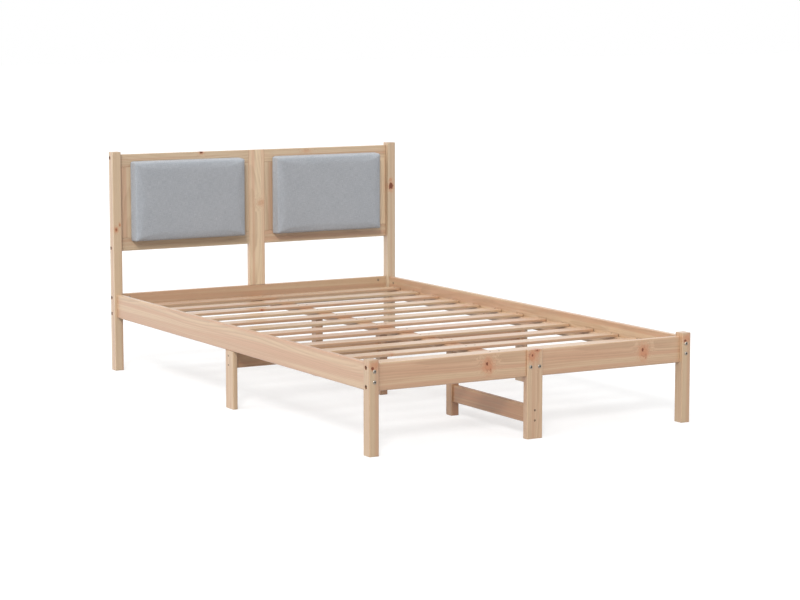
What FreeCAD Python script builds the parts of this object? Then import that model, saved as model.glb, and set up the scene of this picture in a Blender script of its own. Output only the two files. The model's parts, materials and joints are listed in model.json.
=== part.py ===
import FreeCAD, Part
import math
import os

# Slatted double bed frame in pine with a low headboard that carries two upholstered panels.
# Lengths are in millimetres. The origin lies on the floor under the middle of the outline,
# +Z is up, the headboard is at +Y and the foot end at -Y, and left is -X.

# Overall size over the corner legs
bed_width = 1255.0
bed_length = 2055.0

# Corner legs: two tall head posts and two short foot legs
post_width = 35.0
post_depth = 38.0
post_height = 850.0
foot_leg_width = 35.0
foot_leg_depth = 40.0
foot_leg_height = 309.0

# Rails round the bed, all at one height
rail_height = 90.0
rail_underside = 207.0
side_rail_thickness = 18.0
side_rail_setback = 10.0
foot_rail_thickness = 18.0
foot_rail_setback = 14.0
head_rail_thickness = 18.0
head_rail_setback = 19.0

# Middle leg of the foot end, between the two halves of the foot rail
middle_leg_width = 60.0
middle_leg_depth = 25.0
middle_leg_setback = 7.0

# Middle line: flat beam, its legs, and the low stretcher behind the middle foot leg
support_height = 249.0
centre_beam_width = 60.0
centre_beam_thickness = 18.0
centre_leg_width = 30.0
centre_leg_depth = 38.0
centre_leg_pitch = 499.0
centre_leg_count = 3
stretcher_thickness = 18.0
stretcher_height = 60.0
stretcher_underside = 48.0

# Half way along: a board leg under each side rail and a beam across between them
side_leg_width = 60.0
cross_beam_thickness = 18.0
cross_beam_height = 60.0
cross_beam_underside = 143.0
cross_beam_offset = 6.5
housing_room = 0.2

# Slats and the ledgers that carry their ends
ledger_thickness = 18.0
ledger_height = 30.0
ledger_end_gap = 12.0
slat_count = 13
slat_width = 60.0
slat_thickness = 10.0
slat_end_gap = 3.0
slat_first_margin = 62.0

# Headboard: two open frames with a board between them that stands on the head rail
headboard_setback = 19.0
headboard_thickness = 18.0
headboard_top_drop = 11.0
headboard_frame_height = 375.0
frame_rail_height = 50.0
frame_stile_width = 50.0
centre_board_width = 70.0

# Upholstered panels, each a board in foam that covers the edges of its frame's opening
panel_outer_cover = 7.0
panel_inner_cover = 14.0
panel_top_cover = 23.0
panel_bottom_cover = 15.0
panel_board_thickness = 12.0
panel_board_inset = 5.0
panel_board_corner_radius = 12.0
panel_foam_thickness = 40.0
panel_corner_radius = 16.0
panel_edge_tuck = 3.0
panel_edge_roll = 16.0
panel_crown = 6.0
panel_crown_inset = 36.0

# Eased edges
leg_edge_radius = 2.5
board_edge_chamfer = 2.0
frame_edge_chamfer = 1.2

# Stub tenons, worked on the end of one piece and let into the other
tenon_thickness = 8.0
tenon_shoulder = 10.0
tenon_room = 0.2
stile_tenon_length = 20.0
frame_rail_tenon_length = 20.0
side_leg_tenon_length = 20.0
foot_rail_tenon_length = 8.0
centre_board_tenon_length = 25.0
centre_leg_tenon_length = 9.0
centre_leg_tenon_shoulder = 7.0
beam_tenon_length = 9.0
beam_tenon_shoulder = 5.0

# Bolts through the legs: low round heads on the faces, hexagon heads sunk in the sides
bolt_radius = 3.0
bolt_length = 80.0
bolt_clearance = 0.3
bolt_tip_room = 2.0
button_radius = 6.3
button_height = 3.0
hexagon_across = 10.0
hexagon_height = 4.0
recess_radius = 6.6
recess_depth = 12.0
side_bolt_rise = 3.5
side_bolt_spacing = 34.0
cross_bolt_spacing = 62.0
frame_bolt_edge = 12.5
beam_bolt_spacing = 34.0

# How far a cutting shape runs past the face that it cuts
overrun = 1.0

# Directions
X = FreeCAD.Vector(1, 0, 0)
Y = FreeCAD.Vector(0, 1, 0)
Z = FreeCAD.Vector(0, 0, 1)

# Main faces and levels that several pieces share
side_face = bed_width / 2
foot_face = -bed_length / 2
head_face = bed_length / 2
rail_top = rail_underside + rail_height
rail_middle = rail_underside + rail_height / 2
rail_outer = side_face - side_rail_setback
rail_inner = rail_outer - side_rail_thickness
rail_axis = rail_outer - side_rail_thickness / 2
side_rail_foot = foot_face + foot_leg_depth
side_rail_head = head_face - post_depth
post_inner = side_face - post_width
foot_leg_inner = side_face - foot_leg_width
foot_rail_front = foot_face + foot_rail_setback
foot_rail_axis = foot_rail_front + foot_rail_thickness / 2
middle_leg_front = foot_face + middle_leg_setback
middle_leg_back = middle_leg_front + middle_leg_depth
head_rail_front = side_rail_head + head_rail_setback
head_rail_back = head_rail_front + head_rail_thickness
head_rail_axis = head_rail_front + head_rail_thickness / 2
beam_underside = support_height - centre_beam_thickness
beam_axis = support_height - centre_beam_thickness / 2
cross_beam_front = cross_beam_offset - cross_beam_thickness / 2
cross_beam_back = cross_beam_front + cross_beam_thickness
cross_beam_top = cross_beam_underside + cross_beam_height
slat_end = rail_inner - slat_end_gap
slat_top = support_height + slat_thickness
frame_front = side_rail_head + headboard_setback
frame_back = frame_front + headboard_thickness
frame_axis = frame_front + headboard_thickness / 2
frame_top = post_height - headboard_top_drop
frame_bottom = frame_top - headboard_frame_height
frame_outer = post_inner
frame_inner = centre_board_width / 2
opening_outer = frame_outer - frame_stile_width
opening_inner = frame_inner + frame_stile_width
opening_top = frame_top - frame_rail_height
opening_bottom = frame_bottom + frame_rail_height
panel_outer = opening_outer + panel_outer_cover
panel_inner = opening_inner - panel_inner_cover
panel_top = opening_top + panel_top_cover
panel_bottom = opening_bottom - panel_bottom_cover
panel_depth = panel_board_thickness + panel_foam_thickness


# Shapes that several pieces are made from

def block(low, high):
    """Rectangular block between two corners."""
    size = high - low
    return Part.makeBox(size.x, size.y, size.z, low)


def board(low, high, along, chamfer):
    """Board between two corners with all four of its long edges chamfered."""
    size = high - low
    across, up = [axis for axis in (X, Y, Z) if axis != along]
    width = size.dot(across)
    height = size.dot(up)
    outline = [
        (chamfer, 0), (width - chamfer, 0),
        (width, chamfer), (width, height - chamfer),
        (width - chamfer, height), (chamfer, height),
        (0, height - chamfer), (0, chamfer),
    ]
    points = [low + across * u + up * v for u, v in outline]
    face = Part.Face(Part.makePolygon(points + points[:1]))
    return face.extrude(along * size.dot(along))


def rounded_rectangle(corner, across, up, width, height, radius):
    """Closed outline of a rectangle with rounded corners, from its low corner."""
    def at(u, v):
        return corner + across * u + up * v

    cut = radius * (1 - math.sqrt(0.5))
    right = width - radius
    top = height - radius
    edges = [
        Part.LineSegment(at(radius, 0), at(right, 0)),
        Part.Arc(at(right, 0), at(width - cut, cut), at(width, radius)),
        Part.LineSegment(at(width, radius), at(width, top)),
        Part.Arc(at(width, top), at(width - cut, height - cut), at(right, height)),
        Part.LineSegment(at(right, height), at(radius, height)),
        Part.Arc(at(radius, height), at(cut, height - cut), at(0, top)),
        Part.LineSegment(at(0, top), at(0, radius)),
        Part.Arc(at(0, radius), at(cut, cut), at(radius, 0)),
    ]
    return Part.Wire([edge.toShape() for edge in edges])


def post(low, high):
    """Upright between two corners with rounded long edges and square ends."""
    size = high - low
    outline = rounded_rectangle(low, X, Y, size.x, size.y, leg_edge_radius)
    return Part.Face(outline).extrude(Z * size.z)


def mirrored(shape):
    """The same piece on the other side of the bed."""
    return shape.mirror(FreeCAD.Vector(0, 0, 0), X)


def pair_about(middle, spacing):
    """Two places at equal distances from a middle."""
    return (middle - spacing / 2, middle + spacing / 2)


# Stub tenons: a joint is its middle on the shoulder, the way in, its length and its section

def tongue(joint, room):
    """Rectangular tongue of a joint, grown by some room for the mortise that takes it."""
    middle, direction, length, across, width, up, height = joint
    start = middle - across * (width / 2 + room) - up * (height / 2 + room)
    side = across * (width + 2 * room)
    rise = up * (height + 2 * room)
    face = Part.Face(Part.makePolygon([start, start + side, start + side + rise, start + rise, start]))
    return face.extrude(direction * (length + room))


def with_tenons(shape, joints):
    """The piece with the tenons of these joints on it."""
    return shape.fuse([tongue(joint, 0) for joint in joints]).removeSplitter()


def with_mortises(shape, joints):
    """The piece with the mortises of these joints in it."""
    return shape.cut([tongue(joint, tenon_room) for joint in joints])


def other_side(joint):
    """A joint of the left half as it stands on the right half."""
    middle, direction, length, across, width, up, height = joint
    turned_middle = FreeCAD.Vector(-middle.x, middle.y, middle.z)
    turned_direction = FreeCAD.Vector(-direction.x, direction.y, direction.z)
    return (turned_middle, turned_direction, length, across, width, up, height)


def side_leg_joint():
    """Left side leg up into the side rail."""
    middle = FreeCAD.Vector(-rail_axis, 0, rail_underside)
    width = side_leg_width - 2 * tenon_shoulder
    return (middle, Z, side_leg_tenon_length, X, tenon_thickness, Y, width)


def foot_rail_joint():
    """Left half of the foot rail into the middle leg."""
    middle = FreeCAD.Vector(-middle_leg_width / 2, foot_rail_axis, rail_middle)
    height = rail_height - 2 * tenon_shoulder
    return (middle, X, foot_rail_tenon_length, Y, tenon_thickness, Z, height)


def stile_joint(outer, top):
    """One end of a stile, whose outer edge is given, into its rail."""
    level = opening_top if top else opening_bottom
    direction = Z if top else Z * -1
    middle = FreeCAD.Vector(-outer + frame_stile_width / 2, frame_axis, level)
    width = frame_stile_width - 2 * tenon_shoulder
    return (middle, direction, stile_tenon_length, Y, tenon_thickness, X, width)


def frame_rail_joint(bottom):
    """Headboard rail of the left frame into the edge of the centre board."""
    middle = FreeCAD.Vector(-frame_inner, frame_axis, bottom + frame_rail_height / 2)
    height = frame_rail_height - 2 * tenon_shoulder
    return (middle, X, frame_rail_tenon_length, Y, tenon_thickness, Z, height)


def centre_board_joint():
    """Foot of the centre board into the head rail."""
    middle = FreeCAD.Vector(0, frame_axis, rail_top)
    width = centre_board_width - 2 * tenon_shoulder
    return (middle, Z * -1, centre_board_tenon_length, Y, tenon_thickness, X, width)


def centre_leg_joint(place):
    """Top of a centre leg into the centre beam."""
    middle = FreeCAD.Vector(0, place, beam_underside)
    width = centre_leg_width - 2 * centre_leg_tenon_shoulder
    depth = centre_leg_depth - 2 * centre_leg_tenon_shoulder
    return (middle, Z, centre_leg_tenon_length, X, width, Y, depth)


def beam_joint():
    """Head end of the centre beam into the head rail."""
    middle = FreeCAD.Vector(0, head_rail_front, beam_axis)
    width = centre_beam_width - 2 * beam_tenon_shoulder
    height = centre_beam_thickness - 2 * beam_tenon_shoulder
    return (middle, Y, beam_tenon_length, X, width, Z, height)


# Bolts: each is its point on the leg's face and its direction of travel

def button_bolt(face_point, direction):
    """Bolt whose low round head stands on the face."""
    head = Part.makeCylinder(button_radius, button_height, face_point, direction * -1)
    shank = Part.makeCylinder(bolt_radius, bolt_length, face_point, direction)
    return head.fuse(shank).removeSplitter()


def sunk_bolt(face_point, direction):
    """Bolt whose hexagon head sits on the floor of a recess."""
    corner_radius = hexagon_across / math.sqrt(3)
    turns = [math.radians(60 * step) for step in range(7)]
    points = [FreeCAD.Vector(corner_radius * math.cos(a), corner_radius * math.sin(a), 0) for a in turns]
    head = Part.Face(Part.makePolygon(points)).extrude(Z * -hexagon_height)
    shank = Part.makeCylinder(bolt_radius, bolt_length)
    solid = head.fuse(shank).removeSplitter()
    solid.Placement = FreeCAD.Placement(face_point + direction * recess_depth, FreeCAD.Rotation(Z, direction))
    return solid


def bolt_hole(face_point, direction, seat_depth):
    """Clearance hole of a bolt, through the leg and into the rail behind."""
    start = face_point - direction * overrun
    depth = overrun + seat_depth + bolt_length + bolt_tip_room
    return Part.makeCylinder(bolt_radius + bolt_clearance, depth, start, direction)


def recess(face_point, direction):
    """Round recess that a sunk head sits in."""
    return Part.makeCylinder(recess_radius, recess_depth + overrun, face_point - direction * overrun, direction)


def button_cuts(places):
    """Cutting shapes for bolts with heads on the face."""
    return [bolt_hole(point, direction, 0) for point, direction in places]


def sunk_cuts(places):
    """Cutting shapes for bolts with sunk heads, recess and hole in one."""
    return [bolt_hole(p, d, recess_depth).fuse(recess(p, d)).removeSplitter() for p, d in places]


def side_rail_foot_bolts():
    """Through the left foot leg into the end of the side rail."""
    heights = pair_about(rail_middle + side_bolt_rise, side_bolt_spacing)
    return [(FreeCAD.Vector(-rail_axis, foot_face, z), Y) for z in heights]


def side_rail_head_bolts():
    """Through the left head post into the end of the side rail."""
    heights = pair_about(rail_middle + side_bolt_rise, side_bolt_spacing)
    return [(FreeCAD.Vector(-rail_axis, head_face, z), Y * -1) for z in heights]


def foot_rail_bolts():
    """Through the left foot leg into the end of the foot rail, with sunk heads."""
    heights = pair_about(rail_middle, cross_bolt_spacing)
    return [(FreeCAD.Vector(-side_face, foot_rail_axis, z), X) for z in heights]


def head_rail_bolts():
    """Through the left head post into the end of the head rail, with sunk heads."""
    heights = pair_about(rail_middle, cross_bolt_spacing)
    return [(FreeCAD.Vector(-side_face, head_rail_axis, z), X) for z in heights]


def headboard_bolts():
    """Through the left head post into the two rails of its headboard frame, with sunk heads."""
    heights = (frame_bottom + frame_bolt_edge, frame_top - frame_bolt_edge)
    return [(FreeCAD.Vector(-side_face, frame_axis, z), X) for z in heights]


def beam_bolts():
    """Through the middle foot leg into the end of the centre beam."""
    return [(FreeCAD.Vector(x, middle_leg_front, beam_axis), Y) for x in pair_about(0, beam_bolt_spacing)]


# Spacing along the bed

def centre_leg_places():
    """Middles of the centre legs along Y, the middle one half way along the bed."""
    half = (centre_leg_count - 1) / 2
    return [(n - half) * centre_leg_pitch for n in range(centre_leg_count)]


def slat_places():
    """Middles of the slats along Y."""
    first = side_rail_foot + slat_first_margin
    last = side_rail_head - slat_first_margin
    return [first + n * (last - first) / (slat_count - 1) for n in range(slat_count)]


# Wooden pieces of the bed

def head_post():
    """Left head post with the holes for the rails and the headboard."""
    low = FreeCAD.Vector(-side_face, side_rail_head, 0)
    high = FreeCAD.Vector(-post_inner, head_face, post_height)
    cuts = button_cuts(side_rail_head_bolts()) + sunk_cuts(head_rail_bolts() + headboard_bolts())
    return post(low, high).cut(cuts)


def foot_leg():
    """Left foot leg with the holes for the two rails that meet it."""
    low = FreeCAD.Vector(-side_face, foot_face, 0)
    high = FreeCAD.Vector(-foot_leg_inner, side_rail_foot, foot_leg_height)
    return post(low, high).cut(button_cuts(side_rail_foot_bolts()) + sunk_cuts(foot_rail_bolts()))


def side_rail():
    """Left side rail, bored at both ends and mortised for its leg."""
    low = FreeCAD.Vector(-rail_outer, side_rail_foot, rail_underside)
    high = FreeCAD.Vector(-rail_inner, side_rail_head, rail_top)
    rail = board(low, high, Y, board_edge_chamfer)
    bored = rail.cut(button_cuts(side_rail_foot_bolts() + side_rail_head_bolts()))
    return with_mortises(bored, [side_leg_joint()])


def foot_rail():
    """Left half of the foot rail, between the corner leg and the middle leg."""
    low = FreeCAD.Vector(-foot_leg_inner, foot_rail_front, rail_underside)
    high = FreeCAD.Vector(-middle_leg_width / 2, foot_rail_front + foot_rail_thickness, rail_top)
    rail = with_tenons(board(low, high, X, board_edge_chamfer), [foot_rail_joint()])
    return rail.cut(sunk_cuts(foot_rail_bolts()))


def middle_foot_leg():
    """Broad middle leg of the foot end, its top level with the rails."""
    low = FreeCAD.Vector(-middle_leg_width / 2, middle_leg_front, 0)
    high = FreeCAD.Vector(middle_leg_width / 2, middle_leg_back, rail_top)
    leg = with_mortises(post(low, high), [foot_rail_joint(), other_side(foot_rail_joint())])
    return leg.cut(button_cuts(beam_bolts()))


def head_rail():
    """Cross rail between the head posts; the centre board stands on it."""
    low = FreeCAD.Vector(-post_inner, head_rail_front, rail_underside)
    high = FreeCAD.Vector(post_inner, head_rail_back, rail_top)
    left = sunk_cuts(head_rail_bolts())
    rail = board(low, high, X, board_edge_chamfer).cut(left + [mirrored(cut) for cut in left])
    return with_mortises(rail, [centre_board_joint(), beam_joint()])


def side_leg():
    """Left board leg under the middle of the side rail."""
    half = side_leg_width / 2
    low = FreeCAD.Vector(-rail_outer, -half, 0)
    high = FreeCAD.Vector(-rail_inner, half, rail_underside)
    return with_tenons(board(low, high, Z, board_edge_chamfer), [side_leg_joint()])


def cross_beam():
    """Beam across the bed between the two side legs."""
    low = FreeCAD.Vector(-rail_inner, cross_beam_front, cross_beam_underside)
    high = FreeCAD.Vector(rail_inner, cross_beam_back, cross_beam_top)
    return board(low, high, X, board_edge_chamfer)


def centre_beam():
    """Flat beam along the middle, from the middle foot leg to the head rail."""
    half = centre_beam_width / 2
    low = FreeCAD.Vector(-half, middle_leg_back, beam_underside)
    high = FreeCAD.Vector(half, head_rail_front, support_height)
    beam = with_tenons(board(low, high, Y, board_edge_chamfer), [beam_joint()])
    mortised = with_mortises(beam, [centre_leg_joint(place) for place in centre_leg_places()])
    return mortised.cut(button_cuts(beam_bolts()))


def centre_leg(place):
    """Leg under the centre beam; the one half way along is housed for the cross beam."""
    half_width = centre_leg_width / 2
    half_depth = centre_leg_depth / 2
    low = FreeCAD.Vector(-half_width, place - half_depth, 0)
    high = FreeCAD.Vector(half_width, place + half_depth, beam_underside)
    leg = with_tenons(board(low, high, Z, board_edge_chamfer), [centre_leg_joint(place)])
    if low.y > cross_beam_back or high.y < cross_beam_front:
        return leg
    housing_low = FreeCAD.Vector(
        low.x - overrun, cross_beam_front - housing_room, cross_beam_underside - housing_room)
    housing_high = FreeCAD.Vector(high.x + overrun, high.y + overrun, cross_beam_top + housing_room)
    return leg.cut(block(housing_low, housing_high))


def stretcher():
    """Low board on edge from the middle foot leg to the first centre leg."""
    half = stretcher_thickness / 2
    far_end = centre_leg_places()[0] - centre_leg_depth / 2
    low = FreeCAD.Vector(-half, middle_leg_back, stretcher_underside)
    high = FreeCAD.Vector(half, far_end, stretcher_underside + stretcher_height)
    return board(low, high, Y, board_edge_chamfer)


def ledger():
    """Left batten that carries the ends of the slats."""
    low = FreeCAD.Vector(-rail_inner, side_rail_foot + ledger_end_gap, support_height - ledger_height)
    high = FreeCAD.Vector(-rail_inner + ledger_thickness, side_rail_head - ledger_end_gap, support_height)
    return board(low, high, Y, frame_edge_chamfer)


def slat(place):
    """One slat across the ledgers and the centre beam."""
    low = FreeCAD.Vector(-slat_end, place - slat_width / 2, support_height)
    high = FreeCAD.Vector(slat_end, place + slat_width / 2, slat_top)
    return board(low, high, X, frame_edge_chamfer)


# Headboard pieces

def frame_rail(bottom):
    """Top or bottom rail of the left headboard frame, over the ends of both stiles."""
    top = bottom + frame_rail_height
    low = FreeCAD.Vector(-frame_outer, frame_front, bottom)
    high = FreeCAD.Vector(-frame_inner, frame_back, top)
    rail = with_tenons(board(low, high, X, frame_edge_chamfer), [frame_rail_joint(bottom)])
    at_top = bottom > opening_bottom
    mortised = with_mortises(rail, [stile_joint(frame_outer, at_top), stile_joint(opening_inner, at_top)])
    bolts = [place for place in headboard_bolts() if bottom < place[0].z < top]
    return mortised.cut(sunk_cuts(bolts))


def frame_stile(outer):
    """Upright of the left headboard frame, tenoned into both rails."""
    low = FreeCAD.Vector(-outer, frame_front, opening_bottom)
    high = FreeCAD.Vector(-outer + frame_stile_width, frame_back, opening_top)
    stile = board(low, high, Z, frame_edge_chamfer)
    return with_tenons(stile, [stile_joint(outer, True), stile_joint(outer, False)])


def centre_board():
    """Upright board between the two frames, standing on the head rail."""
    low = FreeCAD.Vector(-frame_inner, frame_front, rail_top)
    high = FreeCAD.Vector(frame_inner, frame_back, frame_top)
    upright = with_tenons(board(low, high, Z, frame_edge_chamfer), [centre_board_joint()])
    left = [frame_rail_joint(frame_bottom), frame_rail_joint(opening_top)]
    return with_mortises(upright, left + [other_side(joint) for joint in left])


def panel_board():
    """Backing board of the left upholstered panel."""
    corner = FreeCAD.Vector(-panel_outer + panel_board_inset, frame_front, panel_bottom + panel_board_inset)
    width = panel_outer - panel_inner - 2 * panel_board_inset
    height = panel_top - panel_bottom - 2 * panel_board_inset
    outline = rounded_rectangle(corner, X, Z, width, height, panel_board_corner_radius)
    return Part.Face(outline).extrude(Y * -panel_board_thickness)


def panel_outline(inset, forward):
    """Outline of the left panel, drawn in all round and moved forward from the frame."""
    corner = FreeCAD.Vector(-panel_outer + inset, frame_front - forward, panel_bottom + inset)
    width = panel_outer - panel_inner - 2 * inset
    height = panel_top - panel_bottom - 2 * inset
    return rounded_rectangle(corner, X, Z, width, height, panel_corner_radius)


def panel_cushion():
    """Foam and cover of the left panel: sides drawn in at the frame, rolled edge, soft crown."""
    rim = panel_depth - panel_crown
    turns = [math.radians(angle) for angle in (0, 45, 90)]
    roll = [(panel_edge_roll * (1 - math.cos(a)), rim - panel_edge_roll * (1 - math.sin(a))) for a in turns]
    sections = [(panel_edge_tuck, 0), (0, panel_edge_roll), *roll, (panel_crown_inset, panel_depth)]
    outlines = [panel_outline(inset, forward) for inset, forward in sections]
    cushion = Part.makeLoft(outlines, True, True)
    return cushion.cut(panel_board())


# Every node of the bed frame, by name

parts = {}


def add_pair(name, left_shape):
    """A piece and its mirror image as two nodes."""
    parts[name + "_left"] = left_shape
    parts[name + "_right"] = mirrored(left_shape)


add_pair("head_post", head_post())
add_pair("foot_leg", foot_leg())
add_pair("side_rail", side_rail())
add_pair("foot_rail", foot_rail())
parts["middle_foot_leg"] = middle_foot_leg()
parts["head_rail"] = head_rail()
add_pair("side_leg", side_leg())
parts["cross_beam"] = cross_beam()
parts["centre_beam"] = centre_beam()
for number, place in enumerate(centre_leg_places(), 1):
    parts["centre_leg_%d" % number] = centre_leg(place)
parts["stretcher"] = stretcher()
add_pair("slat_ledger", ledger())
for number, place in enumerate(slat_places(), 1):
    parts["slat_%02d" % number] = slat(place)

add_pair("headboard_top_rail", frame_rail(opening_top))
add_pair("headboard_bottom_rail", frame_rail(frame_bottom))
add_pair("headboard_outer_stile", frame_stile(frame_outer))
add_pair("headboard_inner_stile", frame_stile(opening_inner))
parts["headboard_centre_board"] = centre_board()
add_pair("panel_board", panel_board())
add_pair("panel_cushion", panel_cushion())

left_buttons = [button_bolt(*place) for place in side_rail_foot_bolts() + side_rail_head_bolts()]
middle_buttons = [button_bolt(*place) for place in beam_bolts()]
left_sunk = [sunk_bolt(*place) for place in foot_rail_bolts() + head_rail_bolts() + headboard_bolts()]
parts["button_head_bolts"] = Part.makeCompound(left_buttons + [mirrored(b) for b in left_buttons] + middle_buttons)
parts["sunk_bolts"] = Part.makeCompound(left_sunk + [mirrored(b) for b in left_sunk])

os.makedirs("parts", exist_ok=True)
for name, shape in parts.items():
    shape.exportStep("parts/%s.step" % name)
print(len(parts), "nodes")
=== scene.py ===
import json
import math
import random

import bpy
import bmesh
from mathutils import Matrix, Vector, noise


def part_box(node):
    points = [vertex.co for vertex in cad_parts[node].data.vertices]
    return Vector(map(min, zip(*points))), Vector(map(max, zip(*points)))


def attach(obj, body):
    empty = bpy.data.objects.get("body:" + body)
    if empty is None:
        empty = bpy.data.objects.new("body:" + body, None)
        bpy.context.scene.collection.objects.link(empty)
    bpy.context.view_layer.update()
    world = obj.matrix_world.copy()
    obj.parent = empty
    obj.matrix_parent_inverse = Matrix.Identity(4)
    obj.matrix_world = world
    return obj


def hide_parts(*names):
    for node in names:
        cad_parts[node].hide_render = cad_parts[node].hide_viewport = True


bl_info = {
    "name": "Slatted pine bed frame",
    "version": (1, 0, 0),
    "blender": (4, 5, 0),
    "location": "View3D > Sidebar > Bed frame",
    "description": "Finishes a slatted pine bed frame with upholstered headboard panels",
    "category": "Object",
}

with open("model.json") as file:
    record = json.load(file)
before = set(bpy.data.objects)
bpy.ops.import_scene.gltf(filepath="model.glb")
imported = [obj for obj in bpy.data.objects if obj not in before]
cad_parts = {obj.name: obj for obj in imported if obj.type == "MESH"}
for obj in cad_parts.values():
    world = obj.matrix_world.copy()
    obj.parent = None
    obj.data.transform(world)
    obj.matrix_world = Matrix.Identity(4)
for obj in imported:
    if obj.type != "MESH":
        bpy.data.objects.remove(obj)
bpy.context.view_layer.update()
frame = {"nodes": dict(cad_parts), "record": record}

MM = 0.001
AXES = "XYZ"
UP, FRONT, BACK = (0, 0, 1), (0, -1, 0), (0, 1, 0)

# Faces of the frame, in mm from its middle
SIDE_FACE, END_FACE, MIDDLE_LEG_FACE, HEADBOARD_BACK = 627.5, 1027.5, 1020.5, 1026.5
# Recesses of the sunk bolts, by the start of the board's name, in mm: the place along Y and Z
BORES = {
    "foot_leg": [(-1004.5, 221), (-1004.5, 283)],
    "head_post": [(1017.5, 221), (1017.5, 283), (1017.5, 476.5), (1017.5, 826.5)],
}
BORE_RADIUS = 6.6 * MM
BORE_DEPTH = 12
# Levels of the bolts at the rails' ends, in mm: domed, sunk, and those of the headboard's rails
DOMED_LEVELS, SUNK_LEVELS, HEADBOARD_LEVELS = (238.5, 272.5), (221, 283), (476.5, 826.5)

# The photo's point of view
CAMERA_PLACE = (-4.21409, -7.42112, 1.44137)
CAMERA_TILT, CAMERA_TURN = 7.3079, -30.0432


def srgb(*values):
    """A linear colour from the usual 0 to 255 values."""
    shares = [value / 255 for value in values]
    return tuple(s / 12.92 if s <= 0.04045 else ((s + 0.055) / 1.055) ** 2.4 for s in shares)


# Settings


def colour_setting(label, about, colour):
    return bpy.props.FloatVectorProperty(
        name=label, description=about, subtype="COLOR", size=3, min=0, max=1, default=colour)


def length_setting(label, about, length, least=0):
    """A length in metres from its default and least value in mm."""
    return bpy.props.FloatProperty(
        name=label, description=about, unit="LENGTH", subtype="DISTANCE",
        min=least * MM, default=length * MM)


def amount_setting(label, about, amount):
    return bpy.props.FloatProperty(name=label, description=about, min=0, default=amount)


class PineSettings(bpy.types.PropertyGroup):
    early: colour_setting("Early wood", "Colour between the growth rings", srgb(202, 173, 140))
    late: colour_setting("Late wood", "Colour of the growth rings", srgb(164, 128, 96))
    heart: colour_setting("Heartwood", "Colour of the pink bands along the grain", srgb(190, 145, 115))
    halo: colour_setting("Knot halo", "Colour of the wood in and round a knot", srgb(190, 122, 80))
    # Also the colour of the painted shade on the walls of the bored recesses
    knot: colour_setting("Knot", "Colour of the heart of a knot", srgb(112, 54, 22))
    bark: colour_setting("Knot rim", "Colour of the dark rim of a knot", srgb(98, 54, 30))
    ring: length_setting("Ring width", "Mean distance between two growth rings", 3.6, 1)
    ease: length_setting("Eased edges", "Radius that the boards' edges are sanded to", 4)


class PanelSettings(bpy.types.PropertyGroup):
    light: colour_setting("Light thread", "Colour of the light threads of the cloth", srgb(184, 188, 193))
    dark: colour_setting("Dark thread", "Colour of the dark threads of the cloth", srgb(146, 151, 158))
    pitch: length_setting("Thread pitch", "Distance between two threads", 0.9, 0.2)
    roll: length_setting("Edge roll", "Radius of the pad's front edges and corners", 7, 1)
    voxel: length_setting("Mesh size", "Voxel of the pad's mesh before it is filled", 5, 3)
    pressure: amount_setting("Filling", "Pressure of the foam on the cloth", 4)
    swell: length_setting("Largest swell", "Furthest that the foam pushes the cloth out", 4)
    proud: length_setting("Proud cloth", "How far the pad passes its foam towards the centre board", 4)
    turned: length_setting(
        "Turned-over cloth", "Width of the cloth that shows on the back of the board", 19, 11)
    staple_gap: length_setting("Staple spacing", "Distance between two staples", 36, 15)


class HardwareSettings(bpy.types.PropertyGroup):
    zinc: colour_setting("Zinc", "Colour of the plated steel", srgb(160, 153, 144))
    # Partly painted shade: the dark dull steel also stands for the shade on the sunk bolts in their
    # recesses
    dull: colour_setting("Dull steel", "Colour of the screws and the sunk bolts", srgb(106, 93, 79))
    # Painted shade: the dark colour inside the sockets stands for the shade in them
    socket: colour_setting(
        "Socket steel", "Colour inside the sockets, which the plating misses", srgb(58, 48, 40))
    head: length_setting("Dome radius", "Radius of a domed bolt head", 6.3, 1)
    dome: length_setting("Dome height", "Height of a domed bolt head", 3, 1)
    shank: length_setting("Shank radius", "Radius of the bolts' shanks", 3, 1)
    screw: length_setting("Screw head radius", "Radius of a countersunk screw head", 3.6, 1)


class StageSettings(bpy.types.PropertyGroup):
    floor: colour_setting("Floor", "Colour of the floor", (0.46, 0.46, 0.46))
    lift: amount_setting("Floor lift", "White that the camera sees on top of the lit floor", 0.58)
    sky: amount_setting("Soft light", "Strength of the light from all sides", 0.4)
    key: amount_setting("Main light", "Strength of the light from the front left", 0.55 * math.pi)
    side: amount_setting("Side light", "Strength of the wide light from the back left", 0.45 * math.pi)
    top: amount_setting("Top light", "Strength of the wide light from above", 0.35 * math.pi)
    lens: bpy.props.FloatProperty(
        name="Lens", description="Focal length of the camera", unit="CAMERA", default=106.2256)


# Shader nodes


def put(tree, kind, inputs=(), **settings):
    """Adds a node with its settings and its inputs, which are values or sockets."""
    node = tree.nodes.new(kind)
    for name, value in settings.items():
        setattr(node, name, value)
    for key, value in dict(inputs).items():
        if isinstance(value, bpy.types.NodeSocket):
            tree.links.new(value, node.inputs[key])
        else:
            node.inputs[key].default_value = value
    return node


def calc(tree, operation, *values):
    return put(tree, "ShaderNodeMath", enumerate(values), operation=operation).outputs[0]


def times(tree, *values):
    return calc(tree, "MULTIPLY", *values)


def plus(tree, *values):
    return calc(tree, "ADD", *values)


def vector_calc(tree, operation, *values):
    node = put(tree, "ShaderNodeVectorMath", enumerate(values), operation=operation)
    single = operation in ("LENGTH", "DOT_PRODUCT")
    return node.outputs["Value" if single else "Vector"]


def mix(tree, amount, low, high, mode="MIX"):
    """Two colours mixed by the amount."""
    inputs = {0: amount, 6: low, 7: high}
    return put(tree, "ShaderNodeMix", inputs, data_type="RGBA", blend_type=mode).outputs[2]


def blend(tree, amount, low, high):
    """Two numbers mixed by the amount."""
    return put(tree, "ShaderNodeMix", {0: amount, 2: low, 3: high}, data_type="FLOAT").outputs[0]


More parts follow.
